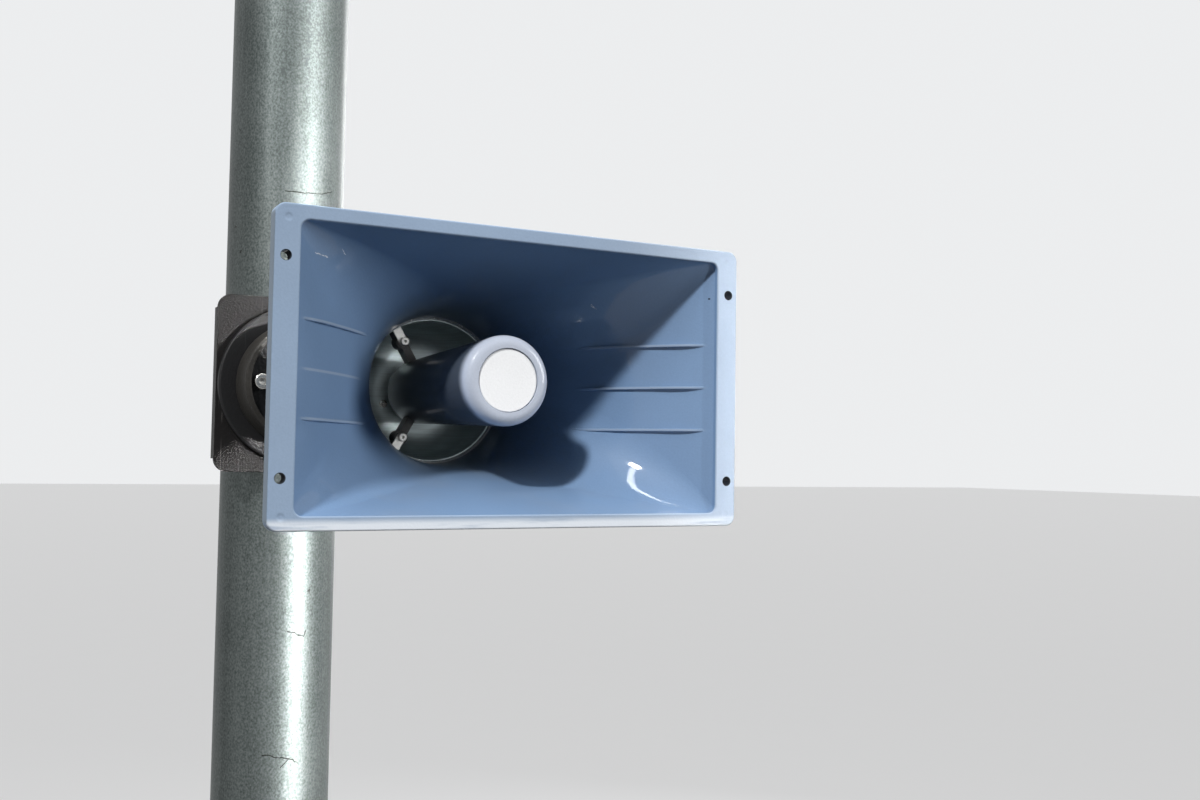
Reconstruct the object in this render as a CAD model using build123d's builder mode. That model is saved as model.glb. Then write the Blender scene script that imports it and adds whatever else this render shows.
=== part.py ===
from build123d import *
import math
import os

# A horn loudspeaker with a rectangular mouth, carried on a galvanised steel pole.
# Sizes are in millimetres. The pole stands on the origin and rises along +Z, and the
# horn faces -Y. Depth is counted from the face of the horn's flange towards the pole.

# Pole and foot
pole_diameter = 101.6
pole_wall = 3.6
pole_top = 2150.0
foot_width = 280.0
foot_thickness = 14.0
foot_corner = 14.0
foot_edge = 1.5
anchor_spacing = 215.0
anchor_hole = 18.0
gusset_height = 120.0
gusset_inset = 27.2
gusset_thickness = 8.0
gusset_nose = 14.0
gusset_snipe = 12.0
cap_skirt = 22.0
cap_wall = 3.0
cap_rise = 12.0
cap_clearance = 0.2

# Height of the horn's axis, and how far above it the bracket leaves the pole
axis_height = 1500.0
bracket_rise = 19.0

# Flange and mouth of the horn
mouth_width = 234.8
mouth_height = 140.2
mouth_corner = 4.5
lip_depth = 3.5
flange_side = 12.6
flange_edge = 7.15
flange_corner = 5.5
flange_round = 0.8
mouth_round = 0.8
flange_sheet = 3.0
skirt_depth = 8.3
skirt_wall = 2.4
rim_hole = 5.0
rim_hole_inset = 6.9
rim_hole_drop = 17.75
rim_boss_radius = 4.4

# Flare, from the mouth to the round throat
throat_radius = 45.0
throat_depth = 139.0
flare_power = 1.86
corner_power = 2.5
flare_stations = 7
station_power = 1.3
round_margin = 0.15
bell_wall = 3.0
throat_shoulder = 0.8
collar_length = 19.0
collar_wall = 3.4
collar_flange = 7.0

# Stiffening ribs on the side walls of the flare
rib_thickness = 1.6
rib_height = 2.6
rib_pitch = 24.0
rib_start = 3.0
rib_length = 72.0
rib_crest = ((0.0, -0.3), (0.06, 0.8), (0.3, 1.0), (0.65, 0.65), (1.0, -0.3))
rib_root = 0.8
rib_round = 0.6

# Bowl, sound tube and cup of the folded throat
ring_width = 1.3
ring_length = 3.0
ring_round = 0.5
bowl_depth = 42.0
bowl_wall = 2.4
bowl_round = 20.0
bowl_clearance = 0.2
tube_front_radius = 15.0
tube_rear_radius = 12.4
tube_wall = 1.8
tube_gap = 23.0
tube_round = 0.6
cup_front_depth = 22.0
cup_front_radius = 24.6
cup_rear_radius = 20.2
cup_rear_gap = 19.0
cup_wall = 2.0
cup_face = 5.0
cup_edge_round = 5.4
disc_radius = 16.8
disc_thickness = 1.6
disc_sink = 0.7
disc_seam = 0.35
disc_round = 0.4

# Legs that hold the cup in the bowl
leg_count = 3
leg_setback = 5.0
leg_length = 9.0
leg_width = 5.0
leg_boss_radius = 4.4
leg_screw_ring = 34.0
leg_clearance = 0.1
clip_width = 5.4
clip_thickness = 1.2
leg_screw_radius = 2.6
leg_screw_length = 3.6
leg_screw_socket = 0.9
leg_screw_round = 0.5

# Driver, housing, rear cover and cable gland
housing_radius = 52.0
housing_wall = 3.0
housing_length = 154.0
cover_length = 23.0
cover_round = 14.0
cover_screw_ring = 31.0
cover_screw_count = 4
cover_screw_radius = 3.4
cover_screw_length = 2.2
cover_screw_round = 1.0
driver_radius = 38.0
driver_length = 46.0
driver_flange_radius = 42.0
driver_flange_length = 6.0
gland_setback = 30.0
gland_radius = 11.0
gland_length = 21.0
gland_nut_across = 24.0
gland_nut_length = 7.0
gland_bore = 4.5
gland_bore_length = 16.0
gland_round = 2.5

# Tilt knuckle
lug_reach = 31.0
lug_foot_radius = 23.0
lug_foot_thickness = 4.0
knuckle_radius = 15.0
tongue_thickness = 14.0
cheek_thickness = 7.5
cheek_clearance = 0.3
bolt_radius = 4.0
bolt_clearance = 0.05
bolt_head_across = 13.0
bolt_head_length = 5.5
bolt_stub = 3.0
washer_radius = 8.4
washer_thickness = 1.6
nut_length = 7.0

# Arm and round base
arm_reach = 72.0
fork_gap = 3.0
fork_root = 8.0
fork_corner = 5.0
arm_neck_radius = 13.5
arm_root_radius = 20.0
base_radius = 52.0
base_length = 32.0
base_draft = 1.5
base_rim_width = 5.0
base_recess = 8.0
base_wall = 4.0
base_rim_round = 1.2
base_screw_ring = 38.0
base_screw_count = 4
base_screw_radius = 6.5
base_screw_height = 8.0
base_screw_socket = 3.0
base_screw_round = 1.4
backing_radius = 67.5
backing_length = 8.0
backing_wall = 3.0
backing_round = 2.0

# Plate, saddles and bands that clamp the bracket to the pole
plate_width = 137.0
plate_height = 150.0
plate_thickness = 3.0
plate_corner = 11.0
plate_return = 10.0
plate_return_wall = 3.0
plate_standoff = 5.2
saddle_width = 76.0
saddle_height = 22.0
saddle_depth = 15.0
saddle_pitch = 100.0
saddle_clearance = 0.1
band_height = 14.0
band_thickness = 1.2
band_standoff = 2.3
band_clearance = 0.2
lock_length = 24.0
lock_depth = 10.0
lock_root = 2.0
lock_round = 3.0
lock_screw_radius = 3.6
lock_screw_length = 36.0
lock_screw_clearance = 0.1
lock_head_radius = 4.6
lock_head_length = 5.0

# Depths along the horn, and places worked out from the sizes above
collar_end = throat_depth + collar_length
bowl_front = throat_depth + ring_length
bowl_rear = bowl_front + bowl_depth
housing_rear = collar_end + housing_length
cover_rear = housing_rear + cover_length
pivot_depth = cover_rear + lug_reach
base_front = pivot_depth + arm_reach
backing_front = base_front + base_length
plate_front = backing_front + backing_length
plate_rear = plate_front + plate_thickness
bore_radius = throat_radius + throat_shoulder
tube_front_depth = cup_front_depth + cup_face + tube_gap
cup_rear_depth = bowl_rear - cup_rear_gap
leg_front_depth = bowl_front + leg_setback
flange_width = mouth_width + 2 * flange_side
flange_height = mouth_height + 2 * flange_edge
rim_hole_across = mouth_width + 2 * rim_hole_inset
rim_hole_up = mouth_height - 2 * rim_hole_drop
pole_radius = pole_diameter / 2
pole_depth = plate_rear + plate_standoff + pole_radius
bracket_height = axis_height + bracket_rise
fork_half = tongue_thickness / 2 + cheek_clearance + cheek_thickness
bolt_hole_radius = bolt_radius + bolt_clearance
horn_axis = Axis((0, -pole_depth, axis_height), (0, 1, 0))
bracket_axis = Axis((0, -pole_depth, bracket_height), (0, 1, 0))
pieces = []


def section_plane(depth, height=axis_height):
    """Plane across the horn at a depth, x to the right and y down, as seen from the front."""
    return Plane(origin=(0, depth - pole_depth, height), x_dir=(1, 0, 0), z_dir=(0, 1, 0))


def side_plane(height=axis_height, offset=0.0):
    """Plane along the horn's axis: x is the depth and y is the distance above the axis."""
    return Plane(origin=(offset, -pole_depth, height), x_dir=(0, 1, 0), z_dir=(1, 0, 0))


def keep(builder, label):
    """Label a finished piece and put it on the list that is written out."""
    builder.part.label = label
    pieces.append(builder.part)


def turned(outline, axis=horn_axis, height=axis_height):
    """Solid turned about an axis of the horn from points of depth and radius."""
    with BuildPart() as turning:
        with BuildSketch(side_plane(height)):
            with BuildLine():
                Polyline(*outline, close=True)
            make_face()
        revolve(axis=axis)
    return turning.part


# Foot plate, with the four anchor holes
with BuildPart() as foot_plate:
    with BuildSketch(Plane.XY):
        RectangleRounded(foot_width, foot_width, foot_corner)
        with GridLocations(anchor_spacing, anchor_spacing, 2, 2):
            Circle(anchor_hole / 2, mode=Mode.SUBTRACT)
    extrude(amount=foot_thickness)
    chamfer(foot_plate.faces().sort_by(Axis.Z)[-1].outer_wire().edges(), length=foot_edge)
keep(foot_plate, "foot_plate")

# Gussets welded between the foot plate and the pole
for number in range(4):
    with BuildPart() as gusset:
        with BuildSketch(Plane.XZ.shift_origin((0, 0, foot_thickness))):
            with BuildLine():
                Polyline(
                    (pole_radius + gusset_snipe, 0),
                    (foot_width / 2 - gusset_inset, 0),
                    (foot_width / 2 - gusset_inset, gusset_nose),
                    (pole_radius + gusset_nose, gusset_height),
                    (pole_radius, gusset_height),
                    (pole_radius, gusset_snipe),
                    close=True,
                )
            make_face()
        extrude(amount=gusset_thickness / 2, both=True)
    turned_gusset = gusset.part.rotate(Axis.Z, 90 * number)
    turned_gusset.label = f"foot_gusset_{number + 1}"
    pieces.append(turned_gusset)

# Pole tube
with BuildPart() as pole:
    with BuildSketch(Plane.XY.offset(foot_thickness)):
        Circle(pole_radius)
        Circle(pole_radius - pole_wall, mode=Mode.SUBTRACT)
    extrude(amount=pole_top - foot_thickness)
keep(pole, "pole")

# Domed cap over the top of the pole
cap_inner = pole_radius + cap_clearance
cap_outer = cap_inner + cap_wall
cap_dome = (cap_outer**2 + (cap_rise - cap_wall) ** 2) / (2 * (cap_rise - cap_wall))
with BuildPart() as pole_cap:
    with BuildSketch(Plane.XZ):
        with BuildLine():
            Polyline(
                (0, pole_top),
                (cap_inner, pole_top),
                (cap_inner, pole_top - cap_skirt),
                (cap_outer, pole_top - cap_skirt),
                (cap_outer, pole_top + cap_wall),
            )
            RadiusArc((cap_outer, pole_top + cap_wall), (0, pole_top + cap_rise), -cap_dome)
            Line((0, pole_top + cap_rise), (0, pole_top))
        make_face()
    revolve(axis=Axis.Z)
keep(pole_cap, "pole_cap")


def flare_run(depth):
    """Share of the way from the end of the mouth's lip to the throat."""
    return (depth - lip_depth) / (throat_depth - lip_depth)


def flare_half(depth, mouth_half):
    """Half of the flare's inside width or height at a depth."""
    return throat_radius + (mouth_half - throat_radius) * (1 - flare_run(depth)) ** flare_power


def flare_size(depth, wall):
    """Half width, half height and corner radius of the flare at a depth, grown by a wall."""
    half_width = flare_half(depth, mouth_width / 2) + wall
    half_height = flare_half(depth, mouth_height / 2) + wall
    sharp = mouth_corner + wall
    round_share = 1 - (1 - flare_run(depth)) ** corner_power
    corner = sharp + (min(half_width, half_height) - round_margin - sharp) * round_share
    return half_width, half_height, corner


def flare_section(depth, wall):
    """Outline of the flare at a depth, grown by a wall."""
    half_width, half_height, corner = flare_size(depth, wall)
    with BuildSketch(section_plane(depth)) as section:
        RectangleRounded(2 * half_width, 2 * half_height, corner)
    return section.sketch


def flare_body(wall):
    """Solid lofted through the flare's outlines, from the mouth's lip to the throat."""
    with BuildPart() as body:
        for station in range(flare_stations):
            run = (station / (flare_stations - 1)) ** station_power
            add(flare_section(lip_depth + run * (throat_depth - lip_depth), wall))
        loft()
    return body.part


def flare_reach(depth, level):
    """Distance from the middle to the side wall of the flare, at a height off the axis."""
    half_width, half_height, corner = flare_size(depth, 0)
    above_flat = max(0, abs(level) - (half_height - corner))
    return half_width - corner + math.sqrt(corner**2 - above_flat**2)


def rib_body(level):
    """A pair of ribs at a height off the axis, rounded along the crest, on the side walls."""
    wall_points = []
    crest_points = []
    for share, fade in rib_crest:
        rib_depth = lip_depth + rib_start + rib_length * share
        wall_x = flare_reach(rib_depth, level)
        wall_points.append((wall_x + rib_root, rib_depth - pole_depth))
        crest_points.append((wall_x - rib_height * fade, rib_depth - pole_depth))
    with BuildPart() as rib:
        with BuildSketch(Plane.XY.offset(axis_height + level)):
            with BuildLine():
                Spline(*wall_points)
                Line(wall_points[-1], crest_points[-1])
                Spline(*reversed(crest_points))
                Line(crest_points[0], wall_points[0])
            make_face()
        extrude(amount=rib_thickness / 2, both=True)
        crest_face = rib.faces().filter_by(GeomType.PLANE, reverse=True).sort_by(Axis.X)[0]
        crest_edges = crest_face.edges().sort_by(Edge.length)[-2:]
        fillet(crest_edges, radius=rib_round)
    return rib.part + rib.part.mirror(Plane.YZ)


# Horn bell: flange, flare from rectangle to circle, and ribs on its side walls
with BuildPart() as horn_bell:
    add(flare_body(bell_wall))
    with BuildSketch(section_plane(0)):
        RectangleRounded(flange_width, flange_height, flange_corner)
    extrude(amount=skirt_depth)
    with BuildSketch(section_plane(flange_sheet)):
        pocket_inner = mouth_width / 2 + bell_wall
        pocket_outer = flange_width / 2 - skirt_wall
        with Locations(
            ((pocket_inner + pocket_outer) / 2, 0), (-(pocket_inner + pocket_outer) / 2, 0)
        ):
            Rectangle(pocket_outer - pocket_inner, flange_height - 2 * skirt_wall)
    extrude(amount=skirt_depth - flange_sheet, mode=Mode.SUBTRACT)
    with BuildSketch(section_plane(throat_depth - bell_wall)):
        Circle(bore_radius + collar_wall)
    extrude(amount=bell_wall)
    with BuildSketch(section_plane(0)):
        RectangleRounded(mouth_width, mouth_height, mouth_corner)
    extrude(amount=lip_depth, mode=Mode.SUBTRACT)
    rim_face = horn_bell.faces().sort_by(Axis.Y)[0]
    rim_outline = rim_face.outer_wire().edges()
    mouth_outline = rim_face.inner_wires()[0].edges()
    fillet(rim_outline, radius=flange_round)
    fillet(mouth_outline, radius=mouth_round)
    add(flare_body(0), mode=Mode.SUBTRACT)
    with BuildSketch(section_plane(flange_sheet)):
        with GridLocations(rim_hole_across, rim_hole_up, 2, 2):
            Circle(rim_boss_radius)
    extrude(amount=skirt_depth - flange_sheet)
    with BuildSketch(section_plane(0)):
        with GridLocations(rim_hole_across, rim_hole_up, 2, 2):
            Circle(rim_hole / 2)
    extrude(amount=skirt_depth, mode=Mode.SUBTRACT)
    for level in (-rib_pitch, 0, rib_pitch):
        add(rib_body(level))
keep(horn_bell, "horn_bell")

# Collar from the throat back to the housing, with a flange at its rear end
with BuildPart() as throat_collar:
    with BuildSketch(section_plane(throat_depth)):
        Circle(bore_radius + collar_wall)
    extrude(amount=collar_length - collar_flange)
    with BuildSketch(section_plane(collar_end - collar_flange)):
        Circle(housing_radius)
    extrude(amount=collar_flange)
    with BuildSketch(section_plane(throat_depth)):
        Circle(bore_radius)
    extrude(amount=collar_length, mode=Mode.SUBTRACT)
keep(throat_collar, "throat_collar")

# Bright ring round the edge of the throat, held behind the shoulder of the bore
bowl_outer = bore_radius - bowl_clearance
with BuildPart() as throat_ring:
    with BuildSketch(section_plane(throat_depth)):
        Circle(bowl_outer)
        Circle(throat_radius - ring_width, mode=Mode.SUBTRACT)
    extrude(amount=ring_length)
    fillet(throat_ring.edges().group_by(Axis.Y)[0], radius=ring_round)
keep(throat_ring, "throat_ring")

# Bowl that turns the sound forward again, a pressed cup with a round bottom
bowl_inner = bowl_outer - bowl_wall
bowl_hole = tube_rear_radius + bowl_clearance
with BuildPart() as throat_bowl:
    with BuildSketch(side_plane()) as bowl_profile:
        with BuildLine():
            Polyline(
                (bowl_front, bowl_inner),
                (bowl_rear - bowl_wall, bowl_inner),
                (bowl_rear - bowl_wall, bowl_hole),
                (bowl_rear, bowl_hole),
                (bowl_rear, bowl_outer),
                (bowl_front, bowl_outer),
                close=True,
            )
        make_face()
        by_depth = bowl_profile.vertices().sort_by(Axis.X)
        fillet(by_depth[2:4].sort_by(Axis.Y)[-1], radius=bowl_round)
        by_depth = bowl_profile.vertices().sort_by(Axis.X)
        fillet(by_depth[-2:].sort_by(Axis.Y)[-1], radius=bowl_round + bowl_wall)
    revolve(axis=horn_axis)
keep(throat_bowl, "throat_bowl")

# Sound tube from the driver to the inside of the cup
with BuildPart() as sound_tube:
    add(
        turned(
            [
                (tube_front_depth, tube_front_radius - tube_wall),
                (bowl_rear, tube_rear_radius - tube_wall),
                (bowl_rear, tube_rear_radius),
                (tube_front_depth, tube_front_radius),
            ]
        )
    )
    fillet(sound_tube.edges().group_by(Axis.Y)[0], radius=tube_round)
keep(sound_tube, "sound_tube")

# Cup over the tube's end, closed at the front, where a round pocket takes the pale disc
cup_taper = (cup_front_radius - cup_rear_radius) / (cup_rear_depth - cup_front_depth)
pocket_depth = disc_sink + disc_thickness
with BuildPart() as reflector_cup:
    with BuildSketch(side_plane()) as cup_profile:
        with BuildLine():
            Polyline(
                (cup_front_depth + pocket_depth, 0),
                (cup_front_depth + pocket_depth, disc_radius + disc_seam),
                (cup_front_depth, disc_radius + disc_seam),
                (cup_front_depth, cup_front_radius),
                (cup_rear_depth, cup_rear_radius),
                (cup_rear_depth, cup_rear_radius - cup_wall),
                (cup_front_depth + cup_face, cup_front_radius - cup_wall),
                (cup_front_depth + cup_face, 0),
                close=True,
            )
        make_face()
        front_corners = cup_profile.vertices().group_by(Axis.X)[0]
        fillet(front_corners.sort_by(Axis.Y)[-1], radius=cup_edge_round)
    revolve(axis=horn_axis)
keep(reflector_cup, "reflector_cup")

# Pale disc set a little below the face of the cup
with BuildPart() as cup_disc:
    with BuildSketch(section_plane(cup_front_depth + disc_sink)):
        Circle(disc_radius)
    extrude(amount=disc_thickness)
    fillet(cup_disc.edges().group_by(Axis.Y)[0], radius=disc_round)
keep(cup_disc, "cup_disc")


def cup_radius(depth):
    """Outside radius of the cup at a depth."""
    return cup_front_radius - cup_taper * (depth - cup_front_depth)


# Legs from the cup out to the wall of the bowl, each with a boss for its screw
leg_inner = cup_radius(leg_front_depth)
leg_outer = bowl_inner - leg_clearance
for number in range(leg_count):
    with BuildPart() as cup_leg:
        with BuildSketch(section_plane(leg_front_depth)):
            with PolarLocations(0, 1, 360 * number / leg_count):
                with Locations(((leg_inner + leg_outer) / 2, 0)):
                    Rectangle(leg_outer - leg_inner, leg_width)
                with Locations((leg_screw_ring, 0)):
                    Circle(leg_boss_radius)
        extrude(amount=leg_length)
        add(
            turned([(0, 0), (0, leg_inner), (bowl_rear, leg_inner), (bowl_rear, 0)]),
            mode=Mode.SUBTRACT,
        )
    keep(cup_leg, f"cup_leg_{number + 1}")

# Bright clips on the legs, from the ring to the screw
with BuildPart() as leg_clips:
    with BuildSketch(section_plane(leg_front_depth - clip_thickness)):
        with PolarLocations(leg_screw_ring, leg_count):
            Circle(clip_width / 2)
            with Locations(((leg_outer - leg_screw_ring) / 2, 0)):
                Rectangle(leg_outer - leg_screw_ring, clip_width)
    extrude(amount=clip_thickness)
    add(
        turned([(0, 0), (0, leg_outer), (bowl_rear, leg_outer), (bowl_rear, 0)]),
        mode=Mode.INTERSECT,
    )
keep(leg_clips, "leg_clips")

# Hollow screws through the clips
with BuildPart() as leg_screws:
    with BuildSketch(section_plane(leg_front_depth - clip_thickness - leg_screw_length)):
        with PolarLocations(leg_screw_ring, leg_count):
            Circle(leg_screw_radius)
            Circle(leg_screw_socket, mode=Mode.SUBTRACT)
    extrude(amount=leg_screw_length)
    front_edges = leg_screws.edges().group_by(Axis.Y)[0]
    outer_edges = front_edges.sort_by(SortBy.RADIUS)[-leg_count:]
    fillet(outer_edges, radius=leg_screw_round)
keep(leg_screws, "leg_screws")

# Driver bolted to the back of the bowl
with BuildPart() as driver:
    add(
        turned(
            [
                (bowl_rear, tube_rear_radius - tube_wall),
                (bowl_rear, driver_flange_radius),
                (bowl_rear + driver_flange_length, driver_flange_radius),
                (bowl_rear + driver_flange_length, driver_radius),
                (bowl_rear + driver_flange_length + driver_length, driver_radius),
                (bowl_rear + driver_flange_length + driver_length, 0),
                (bowl_rear + driver_flange_length, 0),
            ]
        )
    )
keep(driver, "driver")

# Round housing behind the bell
with BuildPart() as driver_housing:
    add(
        turned(
            [
                (collar_end, bore_radius),
                (collar_end, housing_radius),
                (housing_rear, housing_radius),
                (housing_rear, housing_radius - housing_wall),
                (collar_end + housing_wall, housing_radius - housing_wall),
                (collar_end + housing_wall, bore_radius),
            ]
        )
    )
keep(driver_housing, "driver_housing")

# Hollow rear cover with a rounded edge
with BuildPart() as rear_cover:
    with BuildSketch(side_plane()) as cover_profile:
        with BuildLine():
            Polyline(
                (housing_rear, housing_radius - housing_wall),
                (cover_rear - housing_wall, housing_radius - housing_wall),
                (cover_rear - housing_wall, 0),
                (cover_rear, 0),
                (cover_rear, housing_radius),
                (housing_rear, housing_radius),
                close=True,
            )
        make_face()
        by_depth = cover_profile.vertices().sort_by(Axis.X)
        fillet(by_depth[2:4].sort_by(Axis.Y)[-1], radius=cover_round - housing_wall)
        by_depth = cover_profile.vertices().sort_by(Axis.X)
        fillet(by_depth[-2:].sort_by(Axis.Y)[-1], radius=cover_round)
    revolve(axis=horn_axis)
keep(rear_cover, "rear_cover")

# Screws of the rear cover
with BuildPart() as cover_screws:
    with BuildSketch(section_plane(cover_rear)):
        with PolarLocations(cover_screw_ring, cover_screw_count, 45):
            Circle(cover_screw_radius)
    extrude(amount=cover_screw_length)
    fillet(cover_screws.edges().group_by(Axis.Y)[-1], radius=cover_screw_round)
keep(cover_screws, "cover_screws")

# Cable gland under the housing, with its bore open downwards
gland_y = housing_rear - gland_setback - pole_depth
gland_bottom = axis_height - housing_radius - gland_length
with BuildPart() as cable_gland:
    with BuildSketch(Plane.XY.offset(gland_bottom)):
        with Locations((0, gland_y)):
            Circle(gland_radius)
    extrude(amount=gland_length + housing_wall)
    with BuildSketch(Plane.XY.offset(gland_bottom + gland_length / 2 - gland_nut_length / 2)):
        with Locations((0, gland_y)):
            RegularPolygon(gland_nut_across / 2, 6, major_radius=False)
    extrude(amount=gland_nut_length)
    add(
        turned(
            [
                (collar_end, 0),
                (collar_end, housing_radius),
                (cover_rear, housing_radius),
                (cover_rear, 0),
            ]
        ),
        mode=Mode.SUBTRACT,
    )
    fillet(cable_gland.edges().group_by(Axis.Z)[0], radius=gland_round)
    with BuildSketch(Plane.XY.offset(gland_bottom)):
        with Locations((0, gland_y)):
            Circle(gland_bore)
    extrude(amount=gland_bore_length, mode=Mode.SUBTRACT)
keep(cable_gland, "cable_gland")

# Lug on the rear cover, a round foot with the tongue of the tilt knuckle
pivot_y = pivot_depth - pole_depth
with BuildPart() as tilt_lug:
    with BuildSketch(section_plane(cover_rear)):
        Circle(lug_foot_radius)
    extrude(amount=lug_foot_thickness)
    with BuildSketch(side_plane(offset=-tongue_thickness / 2)):
        with Locations((pivot_depth, 0)):
            Circle(knuckle_radius)
        with Locations(((cover_rear + lug_foot_thickness + pivot_depth) / 2, 0)):
            Rectangle(lug_reach - lug_foot_thickness, 2 * knuckle_radius)
        with Locations((pivot_depth, 0)):
            Circle(bolt_hole_radius, mode=Mode.SUBTRACT)
    extrude(amount=tongue_thickness)
keep(tilt_lug, "tilt_lug")

# Arm of the bracket: a fork round the tongue, and a neck that swells into the round base
fork_start = pivot_depth + knuckle_radius + fork_gap
fork_end = fork_start + fork_root
arm_end = base_front + base_recess
neck_depth = (fork_end + arm_end) / 2
neck_height = (axis_height + bracket_height) / 2
with BuildPart() as arm:
    with BuildSketch(section_plane(fork_end)):
        RectangleRounded(2 * fork_half, 2 * knuckle_radius, fork_corner)
    with BuildSketch(section_plane(neck_depth, neck_height)):
        RectangleRounded(2 * arm_neck_radius, 2 * arm_neck_radius, arm_neck_radius - round_margin)
    with BuildSketch(section_plane(arm_end, bracket_height)):
        RectangleRounded(2 * arm_root_radius, 2 * arm_root_radius, arm_root_radius - round_margin)
    loft()
    with BuildSketch(section_plane(fork_start)):
        RectangleRounded(2 * fork_half, 2 * knuckle_radius, fork_corner)
    extrude(amount=fork_root)
    for inner in (tongue_thickness / 2 + cheek_clearance, -fork_half):
        with BuildSketch(side_plane(offset=inner)):
            with Locations((pivot_depth, 0)):
                Circle(knuckle_radius)
            with Locations(((pivot_depth + fork_end) / 2, 0)):
                Rectangle(fork_end - pivot_depth, 2 * knuckle_radius)
            with Locations((pivot_depth, 0)):
                Circle(bolt_radius, mode=Mode.SUBTRACT)
        extrude(amount=cheek_thickness)
keep(arm, "bracket_arm")

# Bolt, washers and nut of the knuckle
with BuildPart() as tilt_bolt:
    with BuildSketch(side_plane(offset=-fork_half - washer_thickness)):
        with Locations((pivot_depth, 0)):
            Circle(bolt_radius)
    extrude(amount=2 * (fork_half + washer_thickness) + nut_length + bolt_stub)
    with BuildSketch(side_plane(offset=-fork_half - washer_thickness - bolt_head_length)):
        with Locations((pivot_depth, 0)):
            RegularPolygon(bolt_head_across / 2, 6, major_radius=False)
    extrude(amount=bolt_head_length)
keep(tilt_bolt, "tilt_bolt")

with BuildPart() as tilt_washers:
    for inner in (fork_half, -fork_half - washer_thickness):
        with BuildSketch(side_plane(offset=inner)):
            with Locations((pivot_depth, 0)):
                Circle(washer_radius)
                Circle(bolt_radius, mode=Mode.SUBTRACT)
        extrude(amount=washer_thickness)
keep(tilt_washers, "tilt_washers")

with BuildPart() as tilt_nut:
    with BuildSketch(side_plane(offset=fork_half + washer_thickness)):
        with Locations((pivot_depth, 0)):
            RegularPolygon(bolt_head_across / 2, 6, major_radius=False)
            Circle(bolt_radius, mode=Mode.SUBTRACT)
    extrude(amount=nut_length)
keep(tilt_nut, "tilt_nut")

# Round base of the bracket, hollow behind, with a raised rim round its face
with BuildPart() as bracket_base:
    add(
        turned(
            [
                (base_front + base_recess, 0),
                (base_front + base_recess, base_radius - base_rim_width),
                (base_front, base_radius - base_rim_width),
                (base_front, base_radius),
                (backing_front, base_radius + base_draft),
                (backing_front, base_radius + base_draft - base_wall),
                (base_front + base_recess + base_wall, base_radius - base_wall),
                (base_front + base_recess + base_wall, 0),
            ],
            bracket_axis,
            bracket_height,
        )
    )
    fillet(bracket_base.edges().group_by(Axis.Y)[0], radius=base_rim_round)
keep(bracket_base, "bracket_base")

# Socket screws on the face of the base
with BuildPart() as base_screws:
    with BuildSketch(section_plane(base_front + base_recess - base_screw_height, bracket_height)):
        with PolarLocations(base_screw_ring, base_screw_count):
            Circle(base_screw_radius)
    extrude(amount=base_screw_height)
    fillet(base_screws.edges().group_by(Axis.Y)[0], radius=base_screw_round)
    with BuildSketch(section_plane(base_front + base_recess - base_screw_height, bracket_height)):
        with PolarLocations(base_screw_ring, base_screw_count):
            Circle(base_screw_socket)
    extrude(amount=base_screw_height / 2, mode=Mode.SUBTRACT)
keep(base_screws, "base_screws")

# Round backing disc between the base and the plate, hollow behind
with BuildPart() as backing_disc:
    add(
        turned(
            [
                (backing_front, 0),
                (backing_front, backing_radius),
                (plate_front, backing_radius),
                (plate_front, backing_radius - backing_wall),
                (backing_front + backing_wall, backing_radius - backing_wall),
                (backing_front + backing_wall, 0),
            ],
            bracket_axis,
            bracket_height,
        )
    )
    fillet(backing_disc.edges().group_by(Axis.Y)[0], radius=backing_round)
keep(backing_disc, "backing_disc")

# Pressed plate, with its side edges returned towards the pole
with BuildPart() as mount_plate:
    with BuildSketch(section_plane(plate_front, bracket_height)):
        RectangleRounded(plate_width, plate_height, plate_corner)
    extrude(amount=plate_thickness)
    with BuildSketch(section_plane(plate_rear, bracket_height)):
        with GridLocations(plate_width - plate_return_wall, 0, 2, 1):
            Rectangle(plate_return_wall, plate_height - 2 * plate_corner)
    extrude(amount=plate_return)
keep(mount_plate, "mount_plate")


def band_outline(grown):
    """Line of a band: an arc through the saddle, two straight runs, and the back of the pole."""
    front_radius = pole_radius + band_standoff + grown
    back_radius = pole_radius + band_clearance + grown
    leave = math.asin(saddle_width / 2 / (pole_radius + band_standoff))
    meet = leave + math.acos(back_radius / front_radius)
    front = (front_radius * math.sin(leave), -front_radius * math.cos(leave))
    back = (back_radius * math.sin(meet), -back_radius * math.cos(meet))
    with BuildSketch() as outline:
        with BuildLine():
            ThreePointArc((-front[0], front[1]), (0, -front_radius), (front[0], front[1]))
            Line((front[0], front[1]), (back[0], back[1]))
            ThreePointArc((back[0], back[1]), (0, back_radius), (-back[0], back[1]))
            Line((-back[0], back[1]), (-front[0], front[1]))
        make_face()
    return outline.sketch


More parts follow.
